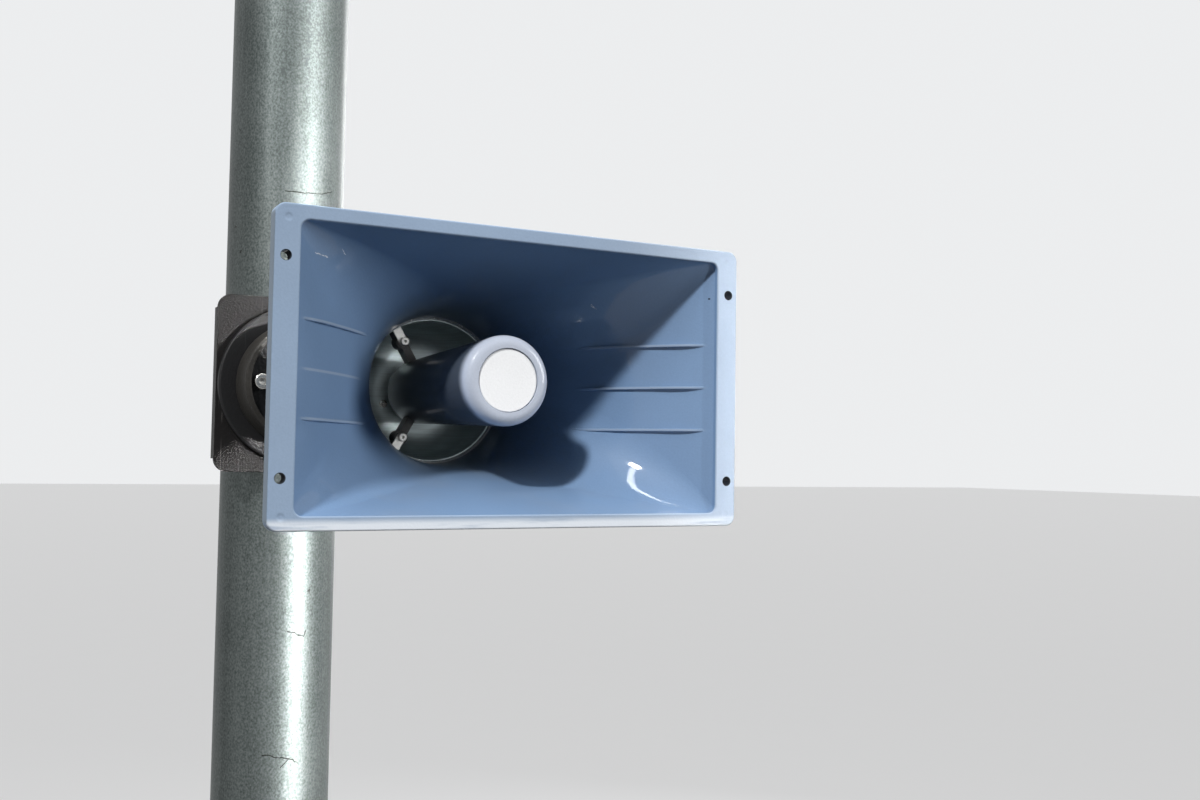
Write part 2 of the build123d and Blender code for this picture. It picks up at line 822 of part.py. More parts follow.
for side, name in ((1, "upper"), (-1, "lower")):
    level = bracket_height + side * saddle_pitch / 2

    # Saddle between the plate and the pole, with a slot for the band
    with BuildPart() as saddle:
        with BuildSketch(section_plane(plate_rear, level)):
            Rectangle(saddle_width, saddle_height)
        extrude(amount=saddle_depth)
        with BuildSketch(Plane.XY.offset(level - saddle_height / 2)):
            Circle(pole_radius + saddle_clearance)
        extrude(amount=saddle_height, mode=Mode.SUBTRACT)
        slot_height = band_height + 2 * band_clearance
        with BuildSketch(Plane.XY.offset(level - slot_height / 2)):
            Circle(pole_radius + band_standoff + band_thickness + band_clearance)
            Circle(pole_radius + band_standoff - band_clearance, mode=Mode.SUBTRACT)
        extrude(amount=slot_height, mode=Mode.SUBTRACT)
    keep(saddle, f"{name}_saddle")

    # Stainless band round the pole
    with BuildPart() as band:
        with BuildSketch(Plane.XY.offset(level - band_height / 2)):
            add(band_outline(band_thickness))
            add(band_outline(0), mode=Mode.SUBTRACT)
        extrude(amount=band_height)
    keep(band, f"{name}_band")

    # Worm housing on the back of the band, and its screw
    band_back = pole_radius + band_clearance + band_thickness
    lock_center = band_back + lock_depth / 2
    with BuildPart() as lock:
        with BuildSketch(Plane.XY.offset(level - band_height / 2)):
            with Locations((0, lock_center - lock_root / 2)):
                Rectangle(lock_length, lock_depth + lock_root)
            Circle(band_back, mode=Mode.SUBTRACT)
        extrude(amount=band_height)
        fillet(lock.edges().filter_by(Axis.X).group_by(Axis.Y)[-1], radius=lock_round)
        with BuildSketch(Plane.YZ.offset(-lock_length / 2)):
            with Locations((lock_center, level)):
                Circle(lock_screw_radius + lock_screw_clearance)
        extrude(amount=lock_length, mode=Mode.SUBTRACT)
    keep(lock, f"{name}_lock")

    with BuildPart() as lock_screw:
        with BuildSketch(Plane.YZ.offset(-lock_screw_length / 2)):
            with Locations((lock_center, level)):
                Circle(lock_screw_radius)
        extrude(amount=lock_screw_length)
        with BuildSketch(Plane.YZ.offset(lock_screw_length / 2)):
            with Locations((lock_center, level)):
                RegularPolygon(lock_head_radius, 6, major_radius=False)
        extrude(amount=lock_head_length)
    keep(lock_screw, f"{name}_lock_screw")

os.makedirs("parts", exist_ok=True)
for piece in pieces:
    export_step(piece, f"parts/{piece.label}.step")
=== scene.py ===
import math

import bpy
from mathutils import Matrix, Vector


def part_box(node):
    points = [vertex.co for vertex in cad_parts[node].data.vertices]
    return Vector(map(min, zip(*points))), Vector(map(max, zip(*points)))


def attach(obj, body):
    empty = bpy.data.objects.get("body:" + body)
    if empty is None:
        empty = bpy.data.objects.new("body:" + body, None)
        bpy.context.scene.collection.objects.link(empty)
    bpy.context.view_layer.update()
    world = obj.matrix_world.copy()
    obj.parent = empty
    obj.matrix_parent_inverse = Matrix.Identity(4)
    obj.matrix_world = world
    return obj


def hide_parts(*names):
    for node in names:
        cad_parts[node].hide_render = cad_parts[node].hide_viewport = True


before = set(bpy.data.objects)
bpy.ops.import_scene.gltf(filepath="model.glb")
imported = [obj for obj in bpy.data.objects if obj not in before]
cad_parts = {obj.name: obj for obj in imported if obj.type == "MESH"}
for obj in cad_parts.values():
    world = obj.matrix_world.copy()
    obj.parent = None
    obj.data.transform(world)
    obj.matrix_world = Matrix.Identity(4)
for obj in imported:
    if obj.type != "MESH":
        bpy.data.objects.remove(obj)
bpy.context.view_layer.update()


# Pole: a round steel tube, hot-dip galvanised, with a fine dull crystal in the zinc. It was
# rolled from strip, so a welded seam runs up its rear, and the zinc has pits and a few
# hairline cracks.
class Field:
    """Number, colour or direction that changes over a surface. Sums on it place their nodes."""

    def __init__(self, tree, socket):
        self.tree = tree
        self.socket = socket

    def made(self, operation, first, second=0.0, clamp=False):
        """Result of a sum on this and another number."""
        values = {0: first, 1: second}
        node = place(self.tree, "Math", values, operation=operation, use_clamp=clamp)
        return Field(self.tree, node.outputs[0])

    def __add__(self, other):
        return self.made("ADD", self, other)

    def __sub__(self, other):
        return self.made("SUBTRACT", self, other)

    def __rsub__(self, other):
        return self.made("SUBTRACT", other, self)

    def __mul__(self, other):
        return self.made("MULTIPLY", self, other)

    def __abs__(self):
        return self.made("ABSOLUTE", self)

    def or_more(self, other):
        return self.made("MAXIMUM", self, other)

    def or_less(self, other):
        return self.made("MINIMUM", self, other)

    def capped(self):
        return self.made("ADD", self, 0.0, True)

    def rises(self, low, high, start=0.0, end=1.0):
        """Smooth step: start below the low mark, end above the high one."""
        marks = {"Value": self, "From Min": low, "From Max": high, "To Min": start, "To Max": end}
        step = place(self.tree, "MapRange", marks, interpolation_type="SMOOTHSTEP")
        return Field(self.tree, step.outputs["Result"])

    def falls(self, low, high):
        """Smooth step down: one below the low mark, nothing above the high one."""
        return self.rises(low, high, 1.0, 0.0)


def place(tree, kind, values=None, **options):
    """Node of a kind in a tree. Values fill its inputs, by a number, a colour or a field."""
    node = tree.nodes.new("ShaderNode" + kind)
    for option, choice in options.items():
        setattr(node, option, choice)
    for socket, value in (values or {}).items():
        if isinstance(value, Field):
            tree.links.new(value.socket, node.inputs[socket])
        else:
            node.inputs[socket].default_value = value
    return node


def mixed(tree, share, first, second, blend="MIX"):
    """Colour between two colours by a share."""
    # The node keeps its two colours in inputs 6 and 7, and gives one at output 2.
    values = {0: share, 6: first, 7: second}
    return Field(tree, place(tree, "Mix", values, data_type="RGBA", blend_type=blend).outputs[2])


def surface(tree, stretch=(1.0, 1.0, 1.0), turned=(0.0, 0.0, 0.0)):
    """Place on the object in metres, stretched for streaks and cells, and then turned."""
    coordinate = Field(tree, place(tree, "TexCoord").outputs["Object"])
    mapping = place(tree, "Mapping", {"Vector": coordinate, "Scale": stretch, "Rotation": turned})
    return Field(tree, mapping.outputs["Vector"])


def parts_of(tree, vector):
    """The x, y and z of a direction or a place."""
    return [Field(tree, part) for part in place(tree, "SeparateXYZ", {"Vector": vector}).outputs]


def noise(tree, vector, scale, detail=2.0):
    """Cloudy noise from 0 to 1."""
    texture = place(tree, "TexNoise", {"Vector": vector, "Scale": scale, "Detail": detail})
    return Field(tree, texture.outputs["Fac"])


def off_point(tree, first, second):
    """Length of the step given by two numbers."""
    step = Field(tree, place(tree, "CombineXYZ", {0: first, 1: second}).outputs[0])
    return Field(tree, place(tree, "VectorMath", {0: step}, operation="LENGTH").outputs["Value"])


def stroke(tree, across, up, start, end, width):
    """Mask of a fine line between two points, as seen along the horn's axis."""
    run, rise = end[0] - start[0], end[1] - start[1]
    share = (across - start[0]) * run + (up - start[1]) * rise
    share = (share * (1 / (run**2 + rise**2))).capped()
    distance = off_point(tree, across - start[0] - share * run, up - start[1] - share * rise)
    return distance.falls(width * 0.3, width * 0.6)


def strokes(tree, across, up, lines):
    """Mask of several fine lines, each given by its two ends and its width."""
    mask = None
    for start, end, width in lines:
        line = stroke(tree, across, up, start, end, width)
        mask = mask.or_more(line) if mask else line
    return mask


def start_group(name, inputs, outputs):
    """Node group with named inputs and outputs, and the fields that its inputs bring."""
    group = bpy.data.node_groups.new(name, "ShaderNodeTree")
    for label, value in inputs.items():
        kind = "NodeSocketFloat" if isinstance(value, float) else "NodeSocketColor"
        socket = group.interface.new_socket(label, in_out="INPUT", socket_type=kind)
        socket.default_value = value
    for label in outputs:
        kind = "NodeSocketColor" if label == "Colour" else "NodeSocketFloat"
        group.interface.new_socket(label, in_out="OUTPUT", socket_type=kind)
    given = group.nodes.new("NodeGroupInput").outputs
    return group, {label: Field(group, given[label]) for label in inputs}


def finish_group(group, **results):
    """Wires the results of a group to its outputs."""
    ends = group.nodes.new("NodeGroupOutput").inputs
    for label, result in results.items():
        group.links.new(result.socket, ends[label])


def use_group(tree, group, **values):
    """Outputs of a group placed in a material, with its inputs filled."""
    node = tree.nodes.new("ShaderNodeGroup")
    node.node_tree = group
    for label, value in values.items():
        socket = node.inputs[label.replace("_", " ")]
        if isinstance(value, Field):
            tree.links.new(value.socket, socket)
        else:
            socket.default_value = value
    return {socket.name: Field(tree, socket) for socket in node.outputs}


def start_material(name, **values):
    """Material, its tree and its Principled shader, with plain numbers set on the shader."""
    material = bpy.data.materials.new(name)
    material.use_nodes = True
    shader = material.node_tree.nodes["Principled BSDF"]
    for label, value in values.items():
        shader.inputs[label.replace("_", " ")].default_value = value
    return material, material.node_tree, shader


def finish_material(tree, shader, colour, roughness, height, relief, edge=0.0005):
    """Wires colour, roughness and relief to the shader, with sharp edges softened."""
    tree.links.new(colour.socket, shader.inputs["Base Color"])
    tree.links.new(roughness.socket, shader.inputs["Roughness"])
    soft = Field(tree, place(tree, "Bevel", {"Radius": edge}, samples=4).outputs["Normal"])
    bump = place(tree, "Bump", {"Height": height, "Distance": relief, "Normal": soft})
    tree.links.new(bump.outputs["Normal"], shader.inputs["Normal"])


def dress(material, *nodes):
    """Puts a material on CAD nodes."""
    for node in nodes:
        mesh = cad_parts[node].data
        mesh.materials.clear()
        mesh.materials.append(material)


spangle, given = start_group(
    "Zinc spangle",
    {
        "Light zinc": (0.5, 0.5, 0.5, 1.0),
        "Dark zinc": (0.3, 0.3, 0.3, 1.0),
        "Cells": 80.0,
        "Crystal": 0.3,
        "Roughness": 0.3,
    },
    ("Colour", "Roughness", "Height"),
)
wander_size = (0.012, 0.012, 0.012)
here = surface(spangle, (1.0, 1.0, 0.8))
wander = place(spangle, "TexNoise", {"Vector": here, "Scale": 45.0, "Detail": 3.0})
shift = {0: Field(spangle, wander.outputs["Color"]), 1: wander_size, 2: here}
warped = place(spangle, "VectorMath", shift, operation="MULTIPLY_ADD").outputs[0]
cells = {"Vector": Field(spangle, warped), "Scale": given["Cells"]}
crystal = place(spangle, "TexVoronoi", cells).outputs["Color"]
tone = parts_of(spangle, Field(spangle, crystal))[0]
clouds = noise(spangle, here, 9.0, 4.0)
runs = noise(spangle, surface(spangle, (70.0, 70.0, 2.5)), 1.0, 3.0)
specks = noise(spangle, here, 620.0, 3.0)
tone = tone * given["Crystal"]
shade = tone + (clouds - 0.2) * 0.7 + (runs - 0.5) * 0.6 + (specks - 0.45) * 1.3
finish_group(
    spangle,
    Colour=mixed(spangle, shade, given["Dark zinc"], given["Light zinc"]),
    Roughness=given["Roughness"] + tone * 0.2 + clouds * 0.08,
    Height=tone + clouds * 0.6 + specks * 0.25,
)

pole_low, pole_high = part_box("pole")
pole_radius = (pole_high.x - pole_low.x) / 2
seam_turn = math.radians(35)
seam_width = 0.006
seam_colour = (0.34, 0.36, 0.355, 1)
pit_scale = 95.0
pit_colour = (0.02, 0.021, 0.018, 1)
crack_width = 0.0009
crack_wander = 0.0035
cracks = (
    ((-0.0010, 1.3064), (0.0069, 1.3051)),
    ((0.0069, 1.3051), (0.0134, 1.3011)),
    ((0.0134, 1.3011), (0.0156, 1.3061)),
    ((-0.0181, 1.2028), (-0.0106, 1.2008)),
    ((-0.0106, 1.2008), (0.0038, 1.1984)),
    ((0.0038, 1.1984), (0.0119, 1.1934)),
    ((0.0038, 1.1984), (-0.0037, 1.1911)),
    ((-0.0132, 1.6893), (0.0039, 1.6893)),
    ((0.0039, 1.6893), (0.0201, 1.6910)),
    ((0.0201, 1.6910), (0.0306, 1.6953)),
)
material, tree, shader = start_material("galvanised tube", Metallic=0.95)
zinc = use_group(
    tree,
    spangle,
    Light_zinc=(0.172, 0.190, 0.186, 1),
    Dark_zinc=(0.047, 0.056, 0.054, 1),
    Cells=150.0,
    Crystal=0.03,
    Roughness=0.46,
)
across, along, up = parts_of(tree, surface(tree))
off_seam = abs(across * math.sin(seam_turn) - along * math.cos(seam_turn))
seam = off_seam.falls(seam_width / 3, seam_width / 2) * along.rises(0.0, 0.001)
jitter = (noise(tree, surface(tree), 160.0, 3.0) - 0.5) * crack_wander
cracked = strokes(tree, across + jitter, up + jitter, [(*ends, crack_width) for ends in cracks])
cracked = cracked * along.falls(-0.001, 0.0)
pits = noise(tree, surface(tree), pit_scale, 5.0).rises(0.71, 0.76)
colour = mixed(tree, seam * 0.45, zinc["Colour"], seam_colour)
colour = mixed(tree, pits.or_more(cracked) * 0.85, colour, pit_colour)
height = zinc["Height"] + seam * 0.6 - cracked * 1.2 - pits * 0.5
finish_material(tree, shader, colour, zinc["Roughness"] + cracked * 0.3, height, relief=0.00016)
dress(material, "pole")


# Foot: a thick plate and four gussets, welded round the pole and dipped with it. The beads
# are laid by hand in short steps, which leaves fine ripples along them.
class Solid:
    """Points and faces of a piece that is put together from several closed shapes."""

    def __init__(self):
        self.vertices = []
        self.faces = []

    def add_rings(self, rings, closed=False):
        """Skin over rings of points, with both ends covered, or closed on itself."""
        sides = len(rings[0])
        first = len(self.vertices)
        self.vertices.extend(point for ring in rings for point in ring)
        for number in range(len(rings) if closed else len(rings) - 1):
            low = first + number * sides
            high = first + (number + 1) % len(rings) * sides
            for corner in range(sides):
                beside = (corner + 1) % sides
                self.faces.append((low + corner, low + beside, high + beside, high + corner))
        if not closed:
            last = first + (len(rings) - 1) * sides
            self.faces.append(tuple(range(first + sides - 1, first - 1, -1)))
            self.faces.append(tuple(range(last, last + sides)))

    def laid(self, name, material, body, slot, smooth=True):
        """The finished piece, riding on a body."""
        mesh = bpy.data.meshes.new(name)
        mesh.from_pydata(self.vertices, [], self.faces)
        mesh.validate()
        mesh.materials.append(material)
        mesh.polygons.foreach_set("use_smooth", [smooth] * len(mesh.polygons))
        piece = bpy.data.objects.new(name, mesh)
        bpy.context.scene.collection.objects.link(piece)
        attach(piece, body)
        return piece


def tube_rings(path, radii, sides=10, closed=False):
    """Rings of a round tube along a path, with its own radius at each point."""
    rings = []
    for number, point in enumerate(path):
        after = path[(number + 1) % len(path)] if closed else path[min(number + 1, len(path) - 1)]
        before = path[number - 1] if closed else path[max(number - 1, 0)]
        run = (after - before).normalized()
        side = run.cross(Vector((0, 0, 1)))
        if side.length < 0.1:
            side = run.cross(Vector((0, 1, 0)))
        side.normalize()
        lift = side.cross(run)
        turns = [2 * math.pi * corner / sides for corner in range(sides)]
        spokes = [math.cos(turn) * side + math.sin(turn) * lift for turn in turns]
        rings.append([point + radii[number] * spoke for spoke in spokes])
    return rings


bead_step = 0.0012
bead_size = 0.0035
gusset_bead = bead_size * 0.8
bead_sunk = bead_size * 0.25
ripple = 0.12
ripple_turn, ring_ripple_turn = 1.6, 1.45
tip_size = 0.45
tip_steps = 3


def straight_bead(welds, start, end, size):
    """Adds a straight rippled bead that tapers at its ends."""
    steps = max(4, int((end - start).length / bead_step))
    path = [start.lerp(end, step / steps) for step in range(steps + 1)]
    radii = []
    for step in range(steps + 1):
        taper = min(1, tip_size + step / tip_steps, tip_size + (steps - step) / tip_steps)
        radii.append(size * (1 + ripple * math.sin(step * ripple_turn)) * taper)
    welds.add_rings(tube_rings(path, radii))


scuffs, given = start_group("Scuffs", {"Amount": 0.3}, ("Mask",))
patches = noise(scuffs, surface(scuffs), 21.0, 2.0)
marks = None
for turned in ((0.5, 0.2, 0.9), (-0.7, 0.4, -0.3)):
    streaks = noise(scuffs, surface(scuffs, (900.0, 900.0, 9.0), turned), 1.0, 0.0)
    fine = streaks.rises(0.76, 0.8)
    marks = marks.or_more(fine) if marks else fine
finish_group(scuffs, Mask=marks * (patches + given["Amount"] * 0.5).rises(0.62, 0.74))

scuff_colour = (0.07, 0.07, 0.065, 1)
material, tree, shader = start_material("galvanised foot", Metallic=0.85)
zinc = use_group(
    tree,
    spangle,
    Light_zinc=(0.36, 0.385, 0.38, 1),
    Dark_zinc=(0.15, 0.165, 0.16, 1),
    Cells=60.0,
    Crystal=0.3,
    Roughness=0.32,
)
marks = use_group(tree, scuffs, Amount=0.5)["Mask"]
colour = mixed(tree, marks * 0.5, zinc["Colour"], scuff_colour)
finish_material(tree, shader, colour, zinc["Roughness"], zinc["Height"], relief=0.0004, edge=0.0012)
gussets = [f"foot_gusset_{number}" for number in (1, 2, 3, 4)]
dress(material, "foot_plate", *gussets)

foot_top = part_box("foot_plate")[1].z
gusset_low, gusset_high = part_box("foot_gusset_1")
gusset_half = (gusset_high.y - gusset_low.y) / 2
snipe = 0.013
toe_gap, top_gap = 0.001, 0.002
ring_steps = 260
ring_radius = pole_radius + bead_sunk
ring_level = foot_top + bead_sunk
ring_path = []
for step in range(ring_steps):
    turn = 2 * math.pi * step / ring_steps
    ring_path.append(Vector((ring_radius * math.cos(turn), ring_radius * math.sin(turn), ring_level)))
ring_radii = [bead_size * (1 + ripple * math.sin(step * ring_ripple_turn)) for step in range(ring_steps)]
welds = Solid()
welds.add_rings(tube_rings(ring_path, ring_radii, closed=True), closed=True)
for quarter in range(4):
    turn = Matrix.Rotation(quarter * math.pi / 2, 3, "Z")
    for side in (-gusset_half, gusset_half):
        foot_start = turn @ Vector((pole_radius + snipe, side, foot_top))
        foot_end = turn @ Vector((gusset_high.x - toe_gap, side, foot_top))
        rise_start = turn @ Vector((pole_radius, side, foot_top + snipe))
        rise_end = turn @ Vector((pole_radius, side, gusset_high.z - top_gap))
        straight_bead(welds, foot_start, foot_end, gusset_bead)
        straight_bead(welds, rise_start, rise_end, gusset_bead)
welds.laid("foot_welds", material, "mast", "galvanised_steel")


# Cap: a soft black moulding pushed over the top of the tube, dusty on its dome and worn
# along its edge.
grain, given = start_group(
    "Moulded grain",
    {"Colour": (0.5, 0.5, 0.5, 1.0), "Pebbles": 900.0, "Roughness": 0.4},
    ("Colour", "Roughness", "Height"),
)
here = surface(grain)
pebble = noise(grain, here, given["Pebbles"], 2.0)
mottle = noise(grain, here, 11.0, 3.0)
lighter = (mottle - 0.5) * 0.3 + (pebble - 0.5) * 0.12 + 1.0
grey = Field(grain, place(grain, "CombineColor", {0: lighter, 1: lighter, 2: lighter}).outputs[0])
finish_group(
    grain,
    Colour=mixed(grain, 1.0, given["Colour"], grey, "MULTIPLY"),
    Roughness=(given["Roughness"] + (mottle - 0.5) * 0.16 + (pebble - 0.5) * 0.1).capped(),
    Height=pebble + mottle * 0.3,
)

dust, given = start_group("Settled dust", {"Amount": 0.3}, ("Mask",))
facing = Field(dust, place(dust, "NewGeometry").outputs["Normal"])
upward = parts_of(dust, facing)[2]
cover = noise(dust, surface(dust), 32.0, 6.0).rises(0.35, 0.75)
finish_group(dust, Mask=(upward.rises(0.3, 0.95) * cover * given["Amount"]).capped())

edge_marks, given = start_group("Edge marks", {"Radius": 0.002, "Amount": 0.5}, ("Mask",))
flat_normal = Field(edge_marks, place(edge_marks, "NewGeometry").outputs["Normal"])
soft_normal = place(edge_marks, "Bevel", {"Radius": given["Radius"]}, samples=6).outputs["Normal"]
pair = {0: flat_normal, 1: Field(edge_marks, soft_normal)}
agreement = Field(edge_marks, place(edge_marks, "VectorMath", pair, operation="DOT_PRODUCT").outputs["Value"])
ragged = noise(edge_marks, surface(edge_marks), 240.0, 4.0)
finish_group(edge_marks, Mask=(1.0 - agreement).rises(0.02, 0.14) * ragged.rises(0.4, 0.62) * given["Amount"])

dust_colour = (0.34, 0.32, 0.28, 1)


def moulded(name, colour, roughness, pebbles, relief, dusty, edge_marking=0.0, edge_mark_colour=(0.3, 0.3, 0.29, 1), **shading):
    """Moulded or coated surface with its grain, paler edges, scuffs and settled dust."""
    material, tree, shader = start_material(name, **shading)
    body = use_group(tree, grain, Colour=(*colour, 1), Pebbles=pebbles, Roughness=roughness)
    tinted = body["Colour"]
    if edge_marking:
        edges = use_group(tree, edge_marks, Radius=0.0012, Amount=edge_marking)["Mask"]
        marks = use_group(tree, scuffs, Amount=edge_marking)["Mask"] * 0.6
        tinted = mixed(tree, edges.or_more(marks), tinted, edge_mark_colour)
    settled = use_group(tree, dust, Amount=dusty)["Mask"]
    tinted = mixed(tree, settled, tinted, dust_colour)
    rough = (body["Roughness"] + settled * 0.4).capped()
    finish_material(tree, shader, tinted, rough, body["Height"], relief)
    return material


cap_plastic = moulded(
    "cap plastic",
    (0.03, 0.031, 0.034),
    roughness=0.48,
    pebbles=700.0,
    relief=0.0002,
    dusty=0.5,
    edge_marking=0.25,
    edge_mark_colour=(0.1, 0.1, 0.1, 1),
)
dress(cap_plastic, "pole_cap")

# Clamp plate and saddles: a pressed steel plate with its sides folded back, and two cast
# saddles that seat it on the tube, all in a dark powder coat that is rubbed along its edges.
powder_coat = moulded(
    "powder coat",
    (0.015, 0.0142, 0.0140),
    roughness=0.45,
    pebbles=520.0,
    relief=0.0003,
    dusty=0.3,
    edge_marking=0.5,
    edge_mark_colour=(0.11, 0.105, 0.10, 1),
    Specular_IOR_Level=0.07,
)
dress(powder_coat, "mount_plate", "upper_saddle", "lower_saddle")

# Bands: rolled stainless strip drawn tight round the tube by a worm screw. The screw's
# thread runs in a row of slots pressed in the strip, and the strip's end stands out past it.
brushed, given = start_group(
    "Brushed metal",
    {"Colour": (0.5, 0.5, 0.5, 1.0), "Lines": 300.0, "Roughness": 0.25},
    ("Colour", "Roughness", "Height"),
)
stain_colour = (0.16, 0.16, 0.155, 1)
lines = noise(brushed, surface(brushed, (0.06, 0.06, 3.0)), given["Lines"], 3.0)
stain = noise(brushed, surface(brushed), 25.0, 3.0)
finish_group(
    brushed,
    Colour=mixed(brushed, (lines + stain) * 0.4, given["Colour"], stain_colour),
    Roughness=given["Roughness"] + lines * 0.2,
    Height=lines,
)


def bare_metal(name, colour, roughness, lines, relief, metallic=1.0):
    """Rolled, turned or plated metal with fine lines."""
    material, tree, shader = start_material(name, Metallic=metallic)
    metal = use_group(tree, brushed, Colour=(*colour, 1), Lines=lines, Roughness=roughness)
    finish_material(tree, shader, metal["Colour"], metal["Roughness"], metal["Height"], relief, edge=0.0004)
    return material


band_low, band_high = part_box("upper_band")
upper_level = (band_low.z + band_high.z) / 2
lower_level = sum(point.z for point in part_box("lower_band")) / 2
band_radius = band_high.y
slot_pitch = 0.0032
bar_share, slot_share = 0.3, 0.38
slot_half = 0.0034
slot_reach = 0.036
slot_shade_colour = (0.03, 0.03, 0.03, 1)
strip_colour = (0.52, 0.52, 0.505, 1)
material, tree, shader = start_material("slotted strip", Metallic=1.0)
metal = use_group(tree, brushed, Colour=strip_colour, Lines=420.0, Roughness=0.2)
across, along, up = parts_of(tree, surface(tree))
arc = across.made("ARCTAN2", across, along) * band_radius
row = arc.made("PINGPONG", arc, slot_pitch / 2).rises(slot_pitch * bar_share, slot_pitch * slot_share)
off_level = abs(up - upper_level).or_less(abs(up - lower_level))
slots = row * off_level.falls(slot_half - 0.0003, slot_half) * abs(arc).falls(slot_reach - 0.001, slot_reach)
slots = slots * along.rises(0.0, 0.001)
# Painted shade: the slots are coloured near black for the shade in their hollows.
colour = mixed(tree, slots * 0.92, metal["Colour"], slot_shade_colour)
height = metal["Height"] * 0.1 - slots
finish_material(tree, shader, colour, metal["Roughness"] + slots * 0.4, height, relief=0.0004, edge=0.0003)
dress(material, "upper_band", "lower_band")
strip = bare_metal("stainless strip", strip_colour[:3], roughness=0.2, lines=420.0, relief=0.00004)
dress(strip, "upper_lock", "lower_lock", "upper_lock_screw", "lower_lock_screw")

tail_start, tail_end = math.radians(15), math.radians(42)
tail_thickness = 0.0009
tail_lift = 0.0012
tail_trim = 0.96
tail_tip = 0.12
tail_round = 5
tail_steps = 24
band_half = (band_high.z - band_low.z) / 2
for name, level in (("upper", upper_level), ("lower", lower_level)):
    rings = []
    for step in range(tail_steps + 1):
        share = step / tail_steps
        turn = tail_start + (tail_end - tail_start) * share
        inner = band_radius + tail_lift * share**2
        into_tip = max(0, share * tail_round - (tail_round - 1))
        height = band_half * math.sqrt(max(tail_tip, 1 - into_tip**2)) * tail_trim
        out = Vector((math.sin(turn), math.cos(turn), 0))
        corners = ((inner, -height), (inner + tail_thickness, -height))
        corners += ((inner + tail_thickness, height), (inner, height))
        rings.append([radius * out + Vector((0, 0, level + rise)) for radius, rise in corners])
    tail = Solid()
    tail.add_rings(rings)
    tail.laid(f"{name}_band_tail", strip, "mast", "stainless_steel", smooth=False)

# Backing disc: a dark disc, moulded in a hard plastic, between the clamp plate and the
# bracket. The screws of the base hold it.
backing = moulded(
    "backing plastic",
    (0.009, 0.009, 0.0095),
    roughness=0.45,
    pebbles=800.0,
    relief=0.0002,
    dusty=0.2,
    edge_marking=0.2,
    edge_mark_colour=(0.04, 0.04, 0.04, 1),
    Specular_IOR_Level=0.2,
)
dress(backing, "backing_disc")

# Bracket: a cast round base and the arm with its fork, in a dark coat over sand-cast metal.
# The coat is a paler grey-brown on the rim of the base, and a flash line is left where
# the halves of the mould met.
base_low, base_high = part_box("bracket_base")
base_middle = Vector((0, base_low.y, (base_low.z + base_high.z) / 2))
rim_inner = 0.0468
flash_width = 0.0008
coat_colour = (0.006, 0.0065, 0.007, 1)
paler_rim_colour = (0.032, 0.03, 0.027, 1)
edge_colour = (0.12, 0.115, 0.108, 1)
material, tree, shader = start_material("coated casting", Specular_IOR_Level=0.15)
body = use_group(tree, grain, Colour=coat_colour, Pebbles=420.0, Roughness=0.42)
across, along, up = parts_of(tree, surface(tree))
off_axis = off_point(tree, across, up - base_middle.z)
on_base = along.rises(base_low.y - 0.002, base_low.y - 0.001)
paler_rim = off_axis.rises(rim_inner - 0.0006, rim_inner) * on_base
cloud = noise(tree, surface(tree), 90.0, 4.0)
edges = use_group(tree, edge_marks, Radius=0.0015, Amount=0.6)["Mask"]
flash = abs(across).falls(flash_width * 0.3, flash_width * 0.6) * (1.0 - paler_rim)
colour = mixed(tree, paler_rim * (cloud * 0.5 + 0.6), body["Colour"], paler_rim_colour)
colour = mixed(tree, edges * 0.5, colour, edge_colour)
settled = use_group(tree, dust, Amount=0.25)["Mask"]
colour = mixed(tree, settled, colour, dust_colour)
height = body["Height"] + cloud * 0.6 + flash * 0.8
rough = (body["Roughness"] + settled * 0.3).capped()
finish_material(tree, shader, colour, rough, height, relief=0.0004, edge=0.0009)
dress(material, "bracket_base", "bracket_arm")

# Bolt, nut, washers and screws: bright zinc-plated steel. The base is held by four socket
# screws with knurled heads, and the rear cover by four cross-recessed ones.
plated = bare_metal("plated steel", (0.66, 0.655, 0.62), roughness=0.18, lines=700.0, relief=0.00003)
dress(plated, "tilt_bolt", "tilt_nut", "tilt_washers")
head_sides = 72
round_steps = 4
lip_spread, lip_depth = 1.08, 0.05
tip_spread, tip_depth = 0.05, 1.1


def hexagon(apothem):
    """Radius of a hexagon at a turn."""
    return lambda turn: apothem / math.cos((turn % (math.pi / 3)) - math.pi / 6)


def cross(reach, half):
    """Radius of a cross with four arms at a turn."""

    def radius(turn):
        off_arm = abs((turn + math.pi / 4) % (math.pi / 2) - math.pi / 4)
        if off_arm < math.atan(half / reach):
            return reach / math.cos(off_arm)
        return half / math.sin(off_arm)

    return radius


def add_head(heads, middle, out, radius, height, edge, recess, depth, knurl=0.0):
    """Adds a screw's head: its side, rounded edge, flat top, and the recess for the key."""
    turns = [2 * math.pi * corner / head_sides for corner in range(head_sides)]
    sides = [radius * (1 - knurl * (corner % 2)) for corner in range(head_sides)]
    outline = [recess(turn) for turn in turns]
    levels = [(sides, 0.0), (sides, height - edge)]
    for step in range(1, round_steps + 1):
        bend = math.pi / 2 * step / round_steps
        inset = edge * (1 - math.cos(bend))
        levels.append(([radius - inset] * head_sides, height - edge * (1 - math.sin(bend))))
    levels.append(([size * lip_spread for size in outline], height))
    levels.append((outline, height - radius * lip_depth))
    levels.append((outline, height - depth))
    levels.append(([size * tip_spread for size in outline], height - depth * tip_depth))
    right = Vector((1, 0, 0))
    lift = right.cross(out)
    rings = []
    for sizes, rise in levels:
        ring = []
        for size, turn in zip(sizes, turns):
            ring.append(middle + out * rise + size * (math.cos(turn) * right + math.sin(turn) * lift))
        rings.append(ring)
    heads.add_rings(rings)


def circle_of_heads(middle, ring, count, first_turn, out, **head):
    """Screw heads evenly spaced on a circle about a point."""
    heads = Solid()
    for number in range(count):
        turn = first_turn + number * 2 * math.pi / count
        offset = Vector((ring * math.cos(turn), 0, ring * math.sin(turn)))
        add_head(heads, middle + offset, out, **head)
    return heads


